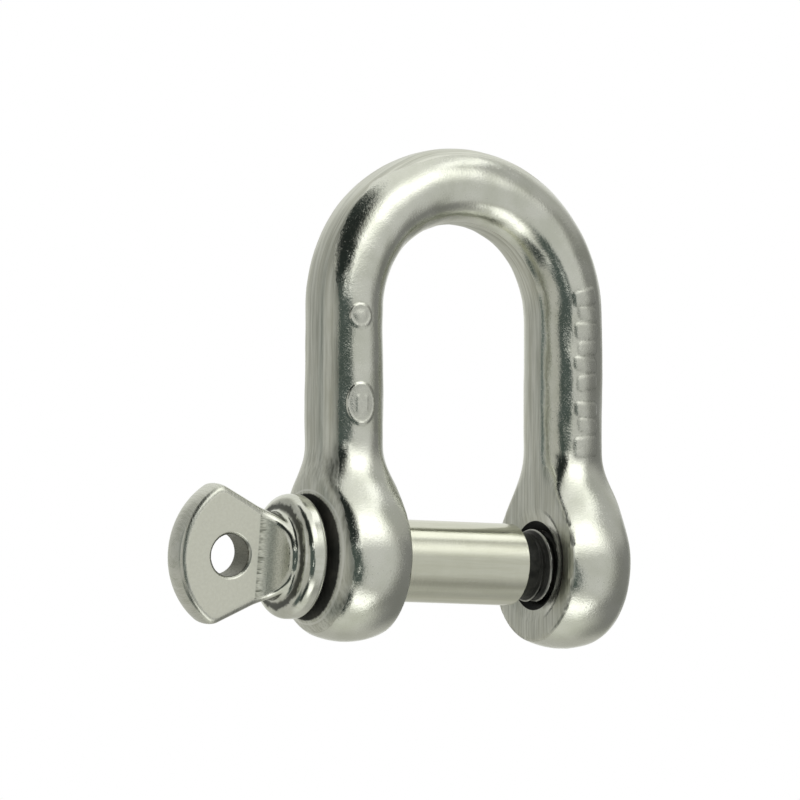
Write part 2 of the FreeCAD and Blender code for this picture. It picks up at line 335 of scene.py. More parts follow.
def ray_lengths(origin, direction):
    """How far each ray runs inside the bow."""
    low = np.zeros(direction.shape[:-1])
    high = np.full_like(low, LONGEST_RAY)
    for _ in range(HALVINGS):
        mid = (low + high) / 2
        p = origin + direction * mid[..., None]
        inside = bow_field(p[..., 0], p[..., 1], p[..., 2]) < 0
        low = np.where(inside, mid, low)
        high = np.where(inside, high, mid)
    return (low + high) / 2


def half_bow(fine):
    """Rays for rings from the crown's top down to the ear's foot at x > 0, out of the middle of the bar.

    Returns their origins, directions and lengths inside the bow, and each ring's place along the bow.
    """
    crown = spans((QUARTER, CROWN_FINE, SPACING), (CROWN_FINE, 0, fine[0][2]))
    stretches, z = [], CROWN_Z
    for top, bottom, spacing in fine:
        if z > top:
            stretches.append((z, top, SPACING))
        stretches.append((top, bottom, spacing))
        z = bottom
    leg = spans(*stretches, (z, 0, SPACING))
    ear = spans((0, math.pi / 2, EAR_SPACING))
    c, s = np.cos(AROUND), np.sin(AROUND)
    origins, directions = [], []
    for length in crown:
        t = length / LEG_X
        origins.append((LEG_X * math.cos(t), 0, CROWN_Z + LEG_X * math.sin(t)))
        directions.append(np.stack([c * math.cos(t), s, c * math.sin(t)], -1))
    for z in leg:
        origins.append((LEG_X + (EAR_X - LEG_X) * passage(z, *RAYS_MOVE_OUT), 0, z))
        directions.append(np.stack([c, s, 0 * c], -1))
    for t in ear:
        origins.append((EAR_X, 0, 0))
        directions.append(np.stack([c * math.cos(t), s * math.cos(t), 0 * c - math.sin(t)], -1))
    origin = np.array(origins)[:, None, :]
    direction = np.array(directions)
    path = np.concatenate([CROWN_Z + crown, leg, -ear * EAR_R])
    return origin, direction, ray_lengths(origin, direction), path


def forging_waves(side, path):
    """The forging's unevenness; the ground faces next to the ears have none."""
    along = path if side > 0 else 2 * CROWN_TOP - path
    s, turn = np.meshgrid(along, AROUND, indexing="ij")
    u, v = np.cos(turn) * BAR_R, np.sin(turn) * BAR_R
    large = LARGE_WAVES * waves(s * LARGE_STRETCH + u, v, LARGE_SEED, LARGE_LENGTH)
    small = SMALL_WAVES * waves(s * SMALL_STRETCH, v - u, SMALL_SEED, SMALL_LENGTH)
    near_ear = (path < NEAR_EAR)[:, None]
    ground = near_ear & (np.abs(np.cos(turn)) > math.cos(GROUND_HALF_ANGLE))
    fade = passage(path, FOOT_FADE_FROM, FOOT_FADE_TO)[:, None]
    return (large + small) * fade * np.where(ground, 0, 1) * np.where(near_ear, EAR_SHARE, 1)


def bow_skin():
    """The bow without its bores, with the marks' extent and creases as attributes."""
    halves, extents, creases = [], [], []
    for side, fine in ((1, FINE_RIGHT), (-1, FINE_LEFT)):
        origin, direction, length, path = half_bow(fine)
        height, extent, crease = relief(side, path, AROUND)
        length = length + forging_waves(side, path) + height
        rings = origin + direction * length[..., None]
        rings[..., 0] *= side
        x = rings[..., 0]
        in_jaw = (path < NEAR_EAR)[:, None] & (np.abs(x) < JAW_HALF)
        rings[..., 0] = np.where(in_jaw, side * JAW_HALF, x)
        halves.append(rings)
        extents.append(extent)
        creases.append(crease)
    # the right half runs upwards and the left one down, and they share the ring at the crown's top
    rings = np.concatenate([halves[0][:0:-1], halves[1]])
    bow = rings_to_mesh("bow_forging", rings, (EAR_X, 0, -EAR_R), (-EAR_X, 0, -EAR_R))
    for name, (right_half, left_half) in (("marked", extents), ("crease", creases)):
        values = np.concatenate([right_half[:0:-1], left_half])
        give(bow, name, np.append(values.ravel(), [0, 0]))
    return bow


def thread_height(x, turn, wider=0.0):
    """Height of a right-hand thread over its root, for a point at x and angle turn."""
    t = ((x - THREAD_START) / PITCH - turn / math.tau) % 1
    rise = np.minimum(t - FLANK_START, FLANK_END - t) / FLANK + wider
    return THREAD_DEPTH * np.clip(rise, 0, 1)


def plain_bore():
    """The left ear's bore, chamfered at both ends."""
    wall = PIN_R + CLEARANCE
    rim = wall + OUTER_CHAMFER
    return lathe("bore", [
        (-EAR_FACE - OVERSHOOT, rim + OVERSHOOT), (-EAR_FACE, rim), (-EAR_FACE + OUTER_CHAMFER, wall),
        (-JAW_HALF - OUTER_CHAMFER, wall), (-JAW_HALF, rim), (-JAW_HALF + OVERSHOOT, rim + OVERSHOOT),
    ])


def tap():
    """The right ear's tapped bore: a helical groove, a clearance wider than the pin's thread."""
    x = np.arange(JAW_HALF - TAP_OVERSHOOT, EAR_FACE + TAP_OVERSHOOT, PITCH / TAP_STATIONS)
    root = THREAD_R - THREAD_DEPTH + TAP_GAP

    def groove(xs, turn, radius):
        return radius + thread_height(xs, turn, TAP_WIDER)

    return lathe("tap", np.stack([x, np.full_like(x, root)], -1), TAP_AROUND, groove)


def dish_and_mouth():
    """The shallow dish in the right ear's inner face and the countersink inside it."""
    wall = THREAD_R + CLEARANCE
    mouth_x = JAW_HALF + DISH_DEPTH
    mouth_end = mouth_x + MOUTH_DEPTH
    return lathe("mouth", [
        (JAW_HALF - DISH_DEPTH / 2, DISH_R + (DISH_R - MOUTH_R) / 2), (JAW_HALF, DISH_R),
        (mouth_x, MOUTH_R), (mouth_end, wall), (mouth_end + MOUTH_TIP_L, wall - MOUTH_TIP_DROP),
    ])


def far_chamfer():
    """The chamfer at the tapped bore's outer end."""
    rim = THREAD_R + CLEARANCE + OUTER_CHAMFER
    return lathe("far", [
        (EAR_FACE - FAR_REACH, rim - FAR_REACH), (EAR_FACE, rim), (EAR_FACE + OVERSHOOT, rim + OVERSHOOT),
    ])


def give_flow(bow):
    """The attribute flow: distance out from the bar's middle, y, and length along the bow."""
    p = points_of(bow)
    rise = np.maximum(p[:, 2] - CROWN_Z, 0)
    out = np.hypot(p[:, 0], rise)
    arc = LEG_X * np.arctan2(rise, np.abs(p[:, 0]))
    path = np.where(rise > 0, CROWN_Z + arc, p[:, 2])
    path = np.where(p[:, 0] < 0, 2 * CROWN_TOP - path, path)
    give(bow, "flow", np.stack([out - LEG_X, p[:, 1], path], -1))


def make_bow():
    """The forging, with its bores cut."""
    bow = bow_skin()
    for cutter in (plain_bore, tap, dish_and_mouth, far_chamfer):
        cut(bow, cutter())
    bow.data.set_sharp_from_angle(angle=BOW_SHARP)
    give_flow(bow)
    return bow


# ---------------------------------------------------------------- the pin

WAIST_BLEND, COLLAR_FILLET, SHANK_FILLET = 0.9, 0.9, 0.08
DOME_EDGE, FLAT_EDGE, HOLE_EDGE, HOLE_CHAMFER_LIMIT = 0.6, 0.62, 0.06, 0.5
HEAD_IN_COLLAR, SHANK_IN_COLLAR = 0.5, 1.0         # how far both run on inside the collar
FAR_INSIDE = -9.0                                  # a field's value well inside the steel
NET_FINE, NET_COARSE, NET_ACROSS = 0.125, 0.5, 0.13    # spacing of the pin's mesh, along and across
NET_HALF, NET_BEFORE, NET_AFTER = 7.36, 0.35, 0.4  # the grid's reach across and past the ends
SHOULDER_FINE = 0.9                                # length of shank at the shoulder that is meshed finely
BAND_GAP = 0.3                                     # between the waist and the head's brushed rim
NORMAL_STEP, SLAB, NEWTON_STEPS, LEAST_SLOPE = 0.004, 16, 4, 0.05
ON_FLAT, FACING_UP = 0.015, 0.05                   # how near a milled face is, and how upright a ramp
FADE_FROM, FADE_TO, END_SLOPE = 0.05, 0.40, 1.1    # of the thread, at the neck and at its end


def disc_field(x, r, x0, x1, radius, round0, round1):
    """Below zero inside a disc between x0 and x1 with rounded edges."""
    rounding = np.where(x < (x0 + x1) / 2, round0, round1)
    q_r = r - (radius - rounding)
    q_x = np.abs(x - (x0 + x1) / 2) - ((x1 - x0) / 2 - rounding)
    outside = np.hypot(np.maximum(q_r, 0), np.maximum(q_x, 0))
    return np.minimum(np.maximum(q_r, q_x), 0) + outside - rounding


def flat_field(x, y):
    """Above zero where the milling cutter passed."""
    run_out = RUNOUT_R - np.hypot(x - FLAT_STOP, np.abs(y) - SPADE_T / 2 - RUNOUT_R)
    return np.where(x < FLAT_STOP, np.abs(y) - SPADE_T / 2, run_out)


def head_field(x, y, z, r):
    """Below zero inside the spade head and the waist."""
    cone_start = COLLAR_BACK - WAIST_L
    cone_end = HEAD_END + DOME_R - math.sqrt(DOME_R ** 2 - CONE_END_R ** 2)
    slope = (CONE_END_R - WAIST_R) / (cone_start - cone_end)
    cone = (r - WAIST_R - slope * (cone_start - x)) / math.hypot(1, slope)
    head = smooth_min(cone, r - WAIST_R, WAIST_BLEND)
    head = np.maximum(head, x - COLLAR_BACK - HEAD_IN_COLLAR)
    dome = np.hypot(x - HEAD_END - DOME_R, r) - DOME_R
    head = smooth_max(head, np.where(x < HEAD_END + DOME_R, dome, FAR_INSIDE), DOME_EDGE)
    head = smooth_max(head, flat_field(x, y), FLAT_EDGE)
    flare = np.clip(np.abs(y) - SPADE_T / 2 + HOLE_CHAMFER, 0, HOLE_CHAMFER_LIMIT)
    return smooth_max(head, HOLE_R + flare - np.hypot(x - HOLE_X, z), HOLE_EDGE)


def pin_field(p):
    """Below zero inside the pin's head, collar and shank, with the flats facing along y."""
    x, y, z = p[..., 0], p[..., 1], p[..., 2]
    r = np.hypot(y, z)
    collar = disc_field(x, r, COLLAR_BACK, SEAT, COLLAR_R, COLLAR_ROUND, COLLAR_SEAT_ROUND)
    chamfer = (r - PIN_R + x - SHOULDER_X + SHOULDER_CHAMFER) * math.sqrt(0.5)
    shank = np.maximum(r - PIN_R, chamfer)
    shank = np.maximum(np.maximum(shank, x - SHOULDER_X), SEAT - SHANK_IN_COLLAR - x)
    body = smooth_min(head_field(x, y, z, r), collar, COLLAR_FILLET)
    return smooth_min(body, shank, SHANK_FILLET)


def gradient(field, p):
    """The field's slope along x, y and z at each point."""
    out = np.empty_like(p)
    for i in range(3):
        d = np.zeros(3)
        d[i] = NORMAL_STEP
        out[:, i] = (field(p + d) - field(p - d)) / (2 * NORMAL_STEP)
    return out


def middle_of_crossings(value, cells):
    """The mean of the places where the surface crosses each cell's edges, as parts of the cell."""
    total, crossings = np.zeros(cells.shape), np.zeros(len(cells))
    for a in [(i, j, k) for i in (0, 1) for j in (0, 1) for k in (0, 1)]:
        for axis in range(3):
            if a[axis]:
                continue
            b = tuple(1 if n == axis else a[n] for n in range(3))
            va = value[cells[:, 0] + a[0], cells[:, 1] + a[1], cells[:, 2] + a[2]]
            vb = value[cells[:, 0] + b[0], cells[:, 1] + b[1], cells[:, 2] + b[2]]
            crosses = (va < 0) != (vb < 0)
            t = np.where(crosses, va / np.where(crosses, va - vb, 1), 0)
            point = np.array(a, float) + t[:, None] * (np.array(b) - np.array(a))
            total += crosses[:, None] * point
            crossings += crosses
    return total / crossings[:, None]


def net_quads(inside, number):
    """One quad for each of the grid's edges that crosses the surface, facing out."""
    quads = []
    for axis in range(3):
        u, v = (axis + 1) % 3, (axis + 2) % 3
        low = [slice(1, -1)] * 3
        low[axis] = slice(0, -1)
        high = list(low)
        high[axis] = slice(1, None)
        at = np.argwhere(inside[tuple(low)] != inside[tuple(high)])
        for n in (u, v):
            at[:, n] += 1
        outgoing = inside[at[:, 0], at[:, 1], at[:, 2]]
        ring = []
        for du, dv in ((1, 1), (0, 1), (0, 0), (1, 0)):
            cell = at.copy()
            cell[:, u] -= du
            cell[:, v] -= dv
            ring.append(number[cell[:, 0], cell[:, 1], cell[:, 2]])
        ring = np.stack(ring, -1)
        quads.append(np.where(outgoing[:, None], ring, ring[:, ::-1]))
    return np.concatenate(quads)


def surface_net(name, field, xs, ys, zs):
    """Quads over a field's zero surface, with each corner moved onto it, and the surface's normals."""
    grid = np.stack(np.meshgrid(xs, ys, zs, indexing="ij"), -1)
    value = np.empty(grid.shape[:3])
    for i in range(0, len(xs), SLAB):
        value[i:i + SLAB] = field(grid[i:i + SLAB])
    inside = value < 0
    count = sum(
        inside[i:len(xs) - 1 + i, j:len(ys) - 1 + j, k:len(zs) - 1 + k].astype(np.int8)
        for i in (0, 1) for j in (0, 1) for k in (0, 1))
    active = (count > 0) & (count < 8)
    number = np.full(active.shape, -1)
    number[active] = np.arange(active.sum())
    cells = np.argwhere(active)
    corner = grid[cells[:, 0], cells[:, 1], cells[:, 2]]
    size = grid[cells[:, 0] + 1, cells[:, 1] + 1, cells[:, 2] + 1] - corner
    p = corner + size * middle_of_crossings(value, cells)
    for _ in range(NEWTON_STEPS):
        g = gradient(field, p)
        p = p - (field(p) / np.maximum((g * g).sum(1), LEAST_SLOPE))[:, None] * g
    obj = build(name, p, net_quads(inside, number))
    normal = gradient(field, points_of(obj))
    normal /= np.linalg.norm(normal, axis=1)[:, None]
    return obj, normal


def make_pin():
    """The pin's head, collar and shank, with masks of its flats, their ramps, the hole and the rim."""
    xs = spans(
        (HEAD_END - NET_BEFORE, SEAT + NET_AFTER, NET_FINE),
        (SEAT + NET_AFTER, SHOULDER_X - SHOULDER_FINE, NET_COARSE),
        (SHOULDER_X - SHOULDER_FINE, SHOULDER_X + NET_AFTER, NET_FINE),
    )
    ys = np.arange(-NET_HALF, NET_HALF, NET_ACROSS)
    obj, normal = surface_net("pin_body", pin_field, xs, ys, ys)
    p = points_of(obj)
    x, y, z = p.T
    milled = (np.abs(flat_field(x, y)) < ON_FLAT) & (np.hypot(y, z) < DOME_R)
    in_hole = np.hypot(x - HOLE_X, z) < HOLE_R + HOLE_EDGE
    masks = {
        "face": milled & (x < FLAT_STOP),
        "ramp": milled & (x >= FLAT_STOP) & (np.abs(normal[:, 1]) > FACING_UP),
        "hole": in_hole & ~milled,
        "band": (x < COLLAR_BACK - WAIST_L - BAND_GAP) & ~milled & ~in_hole,
    }
    for name, mask in masks.items():
        give(obj, name, mask.astype(float))
    give(obj, "flow", p)
    turn = Matrix.Rotation(SPADE_TURN, 4, "X")
    obj.data.transform(turn)
    normal = normal @ np.array(turn.to_3x3()).T
    obj.data.normals_split_custom_set_from_vertices(normal.tolist())
    return obj


def make_thread():
    """The threaded end of the pin: a right-hand helix that fades in at the neck, chamfered at its end."""
    first, last = THREAD_START + 0.02, THREAD_END_X - 0.01
    x = np.concatenate([[THREAD_START], np.arange(first, last, PITCH / THREAD_STATIONS), [THREAD_END_X]])
    root = THREAD_R - THREAD_DEPTH

    def ridge(xs, turn, radius):
        fade = passage(xs, THREAD_START + FADE_FROM, THREAD_START + FADE_TO)
        full = radius + thread_height(xs, turn) * fade
        past = np.maximum(xs - (THREAD_END_X - END_CHAMFER), 0)
        return np.minimum(full, THREAD_R - past * END_SLOPE)

    obj = lathe("pin_thread_helix", np.stack([x, np.full_like(x, root)], -1), THREAD_AROUND, ridge)
    obj.data.set_sharp_from_angle(angle=THREAD_SHARP)
    return obj


# ---------------------------------------------------------------- materials

BUMP, COARSE_BUMP = 0.00003, 0.00005              # bump heights in metres
SATIN, SATIN_DARK, SATIN_WORN = (0.86, 0.865, 0.795, 1), (0.55, 0.555, 0.49, 1), (0.60, 0.60, 0.51, 1)
POLISH, POLISH_DARK = (0.78, 0.785, 0.725, 1), (0.68, 0.69, 0.615, 1)
# the second colour here is painted shade for the creases round the raised marks
MARK_GREY, CREASE_SHADE = (0.60, 0.60, 0.56, 1), (0.24, 0.25, 0.21, 1)
# painted light here: a highlight for the front of the jaw's dish, a dark shade line round its edge, and a
# highlight ring round the shadow under the collar
DISH_HIGHLIGHT, DISH_EDGE_SHADE, RING_HIGHLIGHT = (0.92, 0.92, 0.86, 1), (0.16, 0.17, 0.15, 1), (0.93, 0.93, 0.88, 1)
# painted shade: near black for the shadow under the collar and on the pin's neck, a little lighter in
# patches within that shadow, and near black in the bores
SHADE_BLACK, SHADE_LIGHTER, BORE_SHADE = (0.010, 0.011, 0.010, 1), (0.045, 0.042, 0.036, 1), (0.011, 0.012, 0.011, 1)
PIN_POLISH, PIN_POLISH_DARK = (0.79, 0.795, 0.735, 1), (0.69, 0.70, 0.63, 1)
PIN_STREAK, STRAW, STRAW_DEEP = (0.56, 0.56, 0.46, 1), (0.75, 0.75, 0.635, 1), (0.70, 0.70, 0.575, 1)
MILLED, MILLED_DARK = (0.95, 0.95, 0.855, 1), (0.87, 0.87, 0.775, 1)
RAMP, RAMP_DARK, CHATTER = (0.95, 0.95, 0.86, 1), (0.66, 0.67, 0.58, 1), (0.17, 0.18, 0.14, 1)
BRUSHED, BRUSHED_DARK = (0.80, 0.80, 0.74, 1), (0.60, 0.61, 0.54, 1)
HOLE_WALL, HOLE_WALL_DARK = (0.34, 0.34, 0.29, 1), (0.12, 0.12, 0.10, 1)
# painted shade: on the collar's back next to the waist and on its face towards the ear, and near black on
# the neck and at the thread's start
COLLAR_SHADE, NECK_SHADE, NECK_SHADE_DARK = (0.014, 0.015, 0.014, 1), (0.04, 0.04, 0.036, 1), (0.012, 0.013, 0.012, 1)
# painted shade in the thread's roots
ROOT_SHADE, ROOT_SHADE_DARK = (0.36, 0.36, 0.33, 1), (0.20, 0.20, 0.185, 1)
CREST, CREST_DARK = (0.66, 0.66, 0.62, 1), (0.40, 0.40, 0.37, 1)


# where the belt ran on the bow: soft passages, each (from, to, value before, value after)
BELT_CROWN, BELT_SHOULDER = (4.0, 9.0, 3.0, 3.5), (14.5, 19.5, 0.0, -0.88)
BELT_LEG_FOOT, BELT_EAR = (9.8, 6.0, 0.0, 0.86), (0.3, -1.0, 0.0, -0.25)
BELT_FRONT, BELT_INSIDE, BELT_SOFT = (10.8, 5.5, -1.25, -9.0), (-3.0, -3.1), (-0.03, 0.03)
DISH_LINE_R, SEAT_R = (5.42, 5.50), (6.3, 6.1)    # radii between which they begin
RING_IN, RING_OUT = (6.42, 6.48), (6.66, 6.60)    # the painted highlight ring's two edges


def metres(*lengths):
    return [length * MM for length in lengths]


class Graph:
    """Short calls for shader nodes. Every call that makes a node returns an output socket."""

    def __init__(self, tree):
        self.tree = tree

    def add(self, kind, out=0, settings=(), **inputs):
        """A node; inputs go by name, or by number as i0, i1 and so on."""
        node = self.tree.nodes.new(kind)
        for key, value in dict(settings).items():
            setattr(node, key, value)
        for key, value in inputs.items():
            numbered = key[0] == "i" and key[1:].isdigit()
            self.put(node.inputs[int(key[1:]) if numbered else key], value)
        return node.outputs[out]

    def put(self, socket, value):
        if isinstance(value, bpy.types.NodeSocket):
            self.tree.links.new(value, socket)
        else:
            socket.default_value = value

    def math(self, operation, a, b=0.0, c=0.0):
        return self.add("ShaderNodeMath", settings={"operation": operation}, i0=a, i1=b, i2=c)

    def plus(self, a, b):
        return self.math("ADD", a, b)

    def minus(self, a, b):
        return self.math("SUBTRACT", a, b)

    def times(self, a, b):
        return self.math("MULTIPLY", a, b)

    def larger(self, a, b):
        return self.math("MAXIMUM", a, b)

    def window(self, value, low, high, to_low=0.0, to_high=1.0):
        """A soft passage from to_low, where value is low, to to_high, where it is high."""
        return self.add("ShaderNodeMapRange", settings={"interpolation_type": "SMOOTHSTEP"},
                        i0=value, i1=low, i2=high, i3=to_low, i4=to_high)

    def mix(self, factor, a, b):
        return self.add("ShaderNodeMix", out=2, settings={"data_type": "RGBA"}, i0=factor, i6=a, i7=b)

    def blend(self, factor, a, b):
        return self.add("ShaderNodeMix", settings={"data_type": "FLOAT"}, i0=factor, i2=a, i3=b)

    def number(self, name):
        return self.add("ShaderNodeAttribute", out=2, settings={"attribute_name": name})

    def vector(self, name):
        return self.add("ShaderNodeAttribute", out=1, settings={"attribute_name": name})

    def split(self, vector):
        node = self.tree.nodes.new("ShaderNodeSeparateXYZ")
        self.put(node.inputs[0], vector)
        return node.outputs

    def radius(self, y, z):
        return self.math("SQRT", self.plus(self.times(y, y), self.times(z, z)))

    def place(self):
        """The place in the object, in metres."""
        return self.add("ShaderNodeTexCoord", out=3)

    def about_pin(self, place):
        """Distance along the pin's axis, and from it, in metres."""
        x, y, z = self.split(place)
        return x, self.radius(y, z)

    def stretched(self, vector, x, y, z):
        return self.add("ShaderNodeMapping", Vector=vector, Scale=(x, y, z))

    def noise(self, vector, scale, detail=3.0, roughness=0.5):
        return self.add(
            "ShaderNodeTexNoise", Vector=vector, Scale=scale, Detail=detail, Roughness=roughness)

    def bump(self, height, strength, distance, normal=None):
        inputs = {"Height": height, "Strength": strength, "Distance": distance}
        if normal is not None:
            inputs["Normal"] = normal
        return self.add("ShaderNodeBump", **inputs)


def material(name):
    """A new metallic material, its graph and its shader."""
    made = bpy.data.materials.new(name)
    made.use_nodes = True
    shader = made.node_tree.nodes["Principled BSDF"]
    shader.inputs["Metallic"].default_value = 1.0
    return made, Graph(made.node_tree), shader


def belt_mask(g, flow):
    """Where the belt ground the bow: the bands' edges wander, and the bands differ from crown to ears."""
    a, y, path = g.split(flow)
    along = g.stretched(flow, 0, 0, 1)
    drift = g.minus(g.noise(along, 0.16, 2, 0.5), 0.5)
    ripple = g.minus(g.noise(along, 0.9, 3, 0.6), 0.5)
    wander = g.plus(g.times(drift, 0.6), g.times(ripple, 0.5))
    from_top = g.math("ABSOLUTE", g.minus(path, CROWN_TOP))
    height = g.minus(CROWN_TOP, from_top)
    # the outer band's edge, as a distance out from the bar's middle: crown, shoulders, legs and ears
    edge = g.plus(g.window(from_top, *BELT_CROWN), g.window(from_top, *BELT_SHOULDER))
    edge = g.plus(edge, g.window(height, *BELT_LEG_FOOT))
    edge = g.plus(edge, g.window(height, *BELT_EAR))
    outer = g.window(g.minus(a, g.plus(edge, wander)), *BELT_SOFT)
    # the inner band's front edge, as a y, which runs off the front near the ears
    front_edge = g.window(height, *BELT_FRONT)
    front = g.minus(g.plus(y, g.times(wander, 0.7)), front_edge)
    inner = g.times(g.window(a, *BELT_INSIDE), g.window(front, *BELT_SOFT))
    return g.larger(outer, inner)


def bow_masks(g, flow, speck):
    """Masks of painted light and shade: shade in the bores, a highlight on the front of the jaw's dish, a
    shade line round its edge, a shadow on the seat under the collar and a highlight ring round that
    shadow.
    """
    x, r = g.about_pin(g.place())
    outward = g.math("ABSOLUTE", x)
    y = g.split(flow)[1]
    # painted shade on the walls of the bores, near black and not metallic
    within = g.window(outward, *metres(EAR_FACE - 0.30, EAR_FACE - 0.36))
    bored = g.times(g.window(r, *metres(MOUTH_R - 0.005, MOUTH_R - 0.03)), within)
    on_jaw = g.times(g.window(outward, *metres(EAR_X, EAR_X - 0.5)), g.window(x, *metres(0, 1)))
    # painted highlight: the jaw's dish is made lighter on its front side only
    dish = g.times(g.window(r, *metres(DISH_R + 0.12, DISH_R - 0.02)), on_jaw)
    dish = g.times(dish, g.window(y, -1.6, -3.4))
    # a painted dark shade line round the dish's edge
    dish_edge_shade = g.times(g.window(r, *metres(*DISH_LINE_R)), g.window(speck, 0.30, 0.55, 0.35, 0.9))
    # painted shadow on the left ear's face under the collar, near black and not metallic
    on_seat = g.window(x, *metres(-EAR_FACE + 1.6, -EAR_FACE + 1.0))
    ragged = g.plus(r, g.times(g.minus(speck, 0.5), 0.25 * MM))
    seat = g.times(g.window(ragged, *metres(*SEAT_R)), on_seat)
    # a painted highlight ring round the shadow under the collar
    ring = g.times(g.window(r, *metres(*RING_IN)), g.window(r, *metres(*RING_OUT)))
    return bored, dish, dish_edge_shade, seat, g.times(ring, on_seat)


def bow_material():
    """Polished steel, belt-ground to a satin finish along the outside and the inside of the bow."""
    made, g, shader = material("bow_steel")
    flow = g.vector("flow")
    marked = g.number("marked")
    streak = g.noise(g.stretched(flow, 1, 1, 0.035), 3.2, 4, 0.62)
    fine = g.noise(g.stretched(flow, 1, 1, 0.06), 14.0, 2, 0.6)
    blotch = g.noise(g.stretched(flow, 1, 1, 0.25), 0.9, 3, 0.55)
    cloud = g.noise(flow, 0.35, 3, 0.5)
    speck = g.noise(flow, 4.0, 4, 0.65)
    bored, dish, dish_edge_shade, seat, highlight_ring = bow_masks(g, flow, speck)
    ground = g.times(belt_mask(g, flow), g.minus(1.0, bored))

    satin = g.mix(g.window(streak, 0.30, 0.66), SATIN_DARK, SATIN)
    satin = g.mix(g.window(blotch, 0.42, 0.75, 0.0, 0.55), satin, SATIN_WORN)
    polish = g.mix(g.window(cloud, 0.3, 0.7), POLISH_DARK, POLISH)
    colour = g.mix(ground, polish, satin)
    colour = g.mix(g.times(marked, g.window(speck, 0.35, 0.7, 0.25, 0.75)), colour, MARK_GREY)
    # painted shade in the creases round the raised marks
    colour = g.mix(g.times(g.number("crease"), g.window(speck, 0.35, 0.62, 0.2, 0.75)), colour, CREASE_SHADE)
    # painted highlight on the front of the dish, with a painted dark line round its edge
    colour = g.mix(dish, colour, g.mix(dish_edge_shade, DISH_HIGHLIGHT, DISH_EDGE_SHADE))
    # painted shadow under the collar, near black and not metallic
    seat_shadow = g.times(seat, 0.96)
    colour = g.mix(seat_shadow, colour, g.mix(g.window(cloud, 0.40, 0.65), SHADE_BLACK, SHADE_LIGHTER))
    # painted highlight ring round the shadow under the collar
    colour = g.mix(g.times(highlight_ring, 0.7), colour, RING_HIGHLIGHT)
    # painted shade in the bores
    colour = g.mix(bored, colour, BORE_SHADE)

    polish_rough = g.plus(g.window(cloud, 0.3, 0.7, 0.055, 0.12), g.window(speck, 0.54, 0.72, 0.0, 0.27))
    rough = g.blend(ground, polish_rough, g.window(streak, 0.25, 0.75, 0.30, 0.42))
    rough = g.blend(g.times(marked, 0.8), rough, 0.30)
    rough = g.blend(dish, rough, 0.27)
    rough = g.blend(seat, rough, 0.55)
    rough = g.blend(bored, rough, 0.38)

    lines = g.times(g.plus(g.times(streak, 0.7), g.times(fine, 0.3)), ground)
    pits = g.window(g.noise(flow, 6.5, 3, 0.6), 0.50, 0.66)
    grain = g.times(g.plus(speck, g.times(pits, 0.13)), g.minus(1.0, ground))
    g.put(shader.inputs["Base Color"], colour)
    g.put(shader.inputs["Roughness"], rough)
    g.put(shader.inputs["Metallic"], g.minus(1.0, g.larger(bored, seat_shadow)))
    g.put(shader.inputs["Specular IOR Level"], 0.06)
    g.put(shader.inputs["Normal"], g.bump(lines, 0.35, COARSE_BUMP, g.bump(grain, 0.5, BUMP)))
    return made


def chatter_mask(g, flow, x):
    """The cutter's chatter, dark where the ramps of the flats start."""
    across = g.stretched(flow, 0, 0, 1)
    ragged = g.minus(x, g.window(g.noise(across, 1.3, 4, 0.75), 0.36, 0.68, -0.25, 0.75))
    tooth = g.window(g.noise(across, 3.4, 2, 0.6), 0.40, 0.60, 0.15, 0.85)
    return g.times(g.window(ragged, FLAT_STOP + 0.30, FLAT_STOP + 0.02), tooth)


def collar_masks(g, flow):
    """Painted shade on the collar: in patches on its back next to the waist, and all over its face towards
    the ear, near black and not metallic there.
    """
    x, y, z = g.split(flow)
    wander = g.times(g.minus(g.noise(flow, 0.9, 4, 0.65), 0.5), 1.1)
    ragged = g.plus(g.radius(y, z), wander)
    back = g.times(g.window(ragged, 4.30, 4.65), g.window(ragged, 5.35, 5.05))
    back = g.times(back, g.window(x, COLLAR_BACK - 0.25, COLLAR_BACK - 0.05))
    under = g.times(g.window(x, SEAT - 0.36, SEAT - 0.16), g.window(x, SEAT + 1.1, SEAT + 0.9))
    return back, under


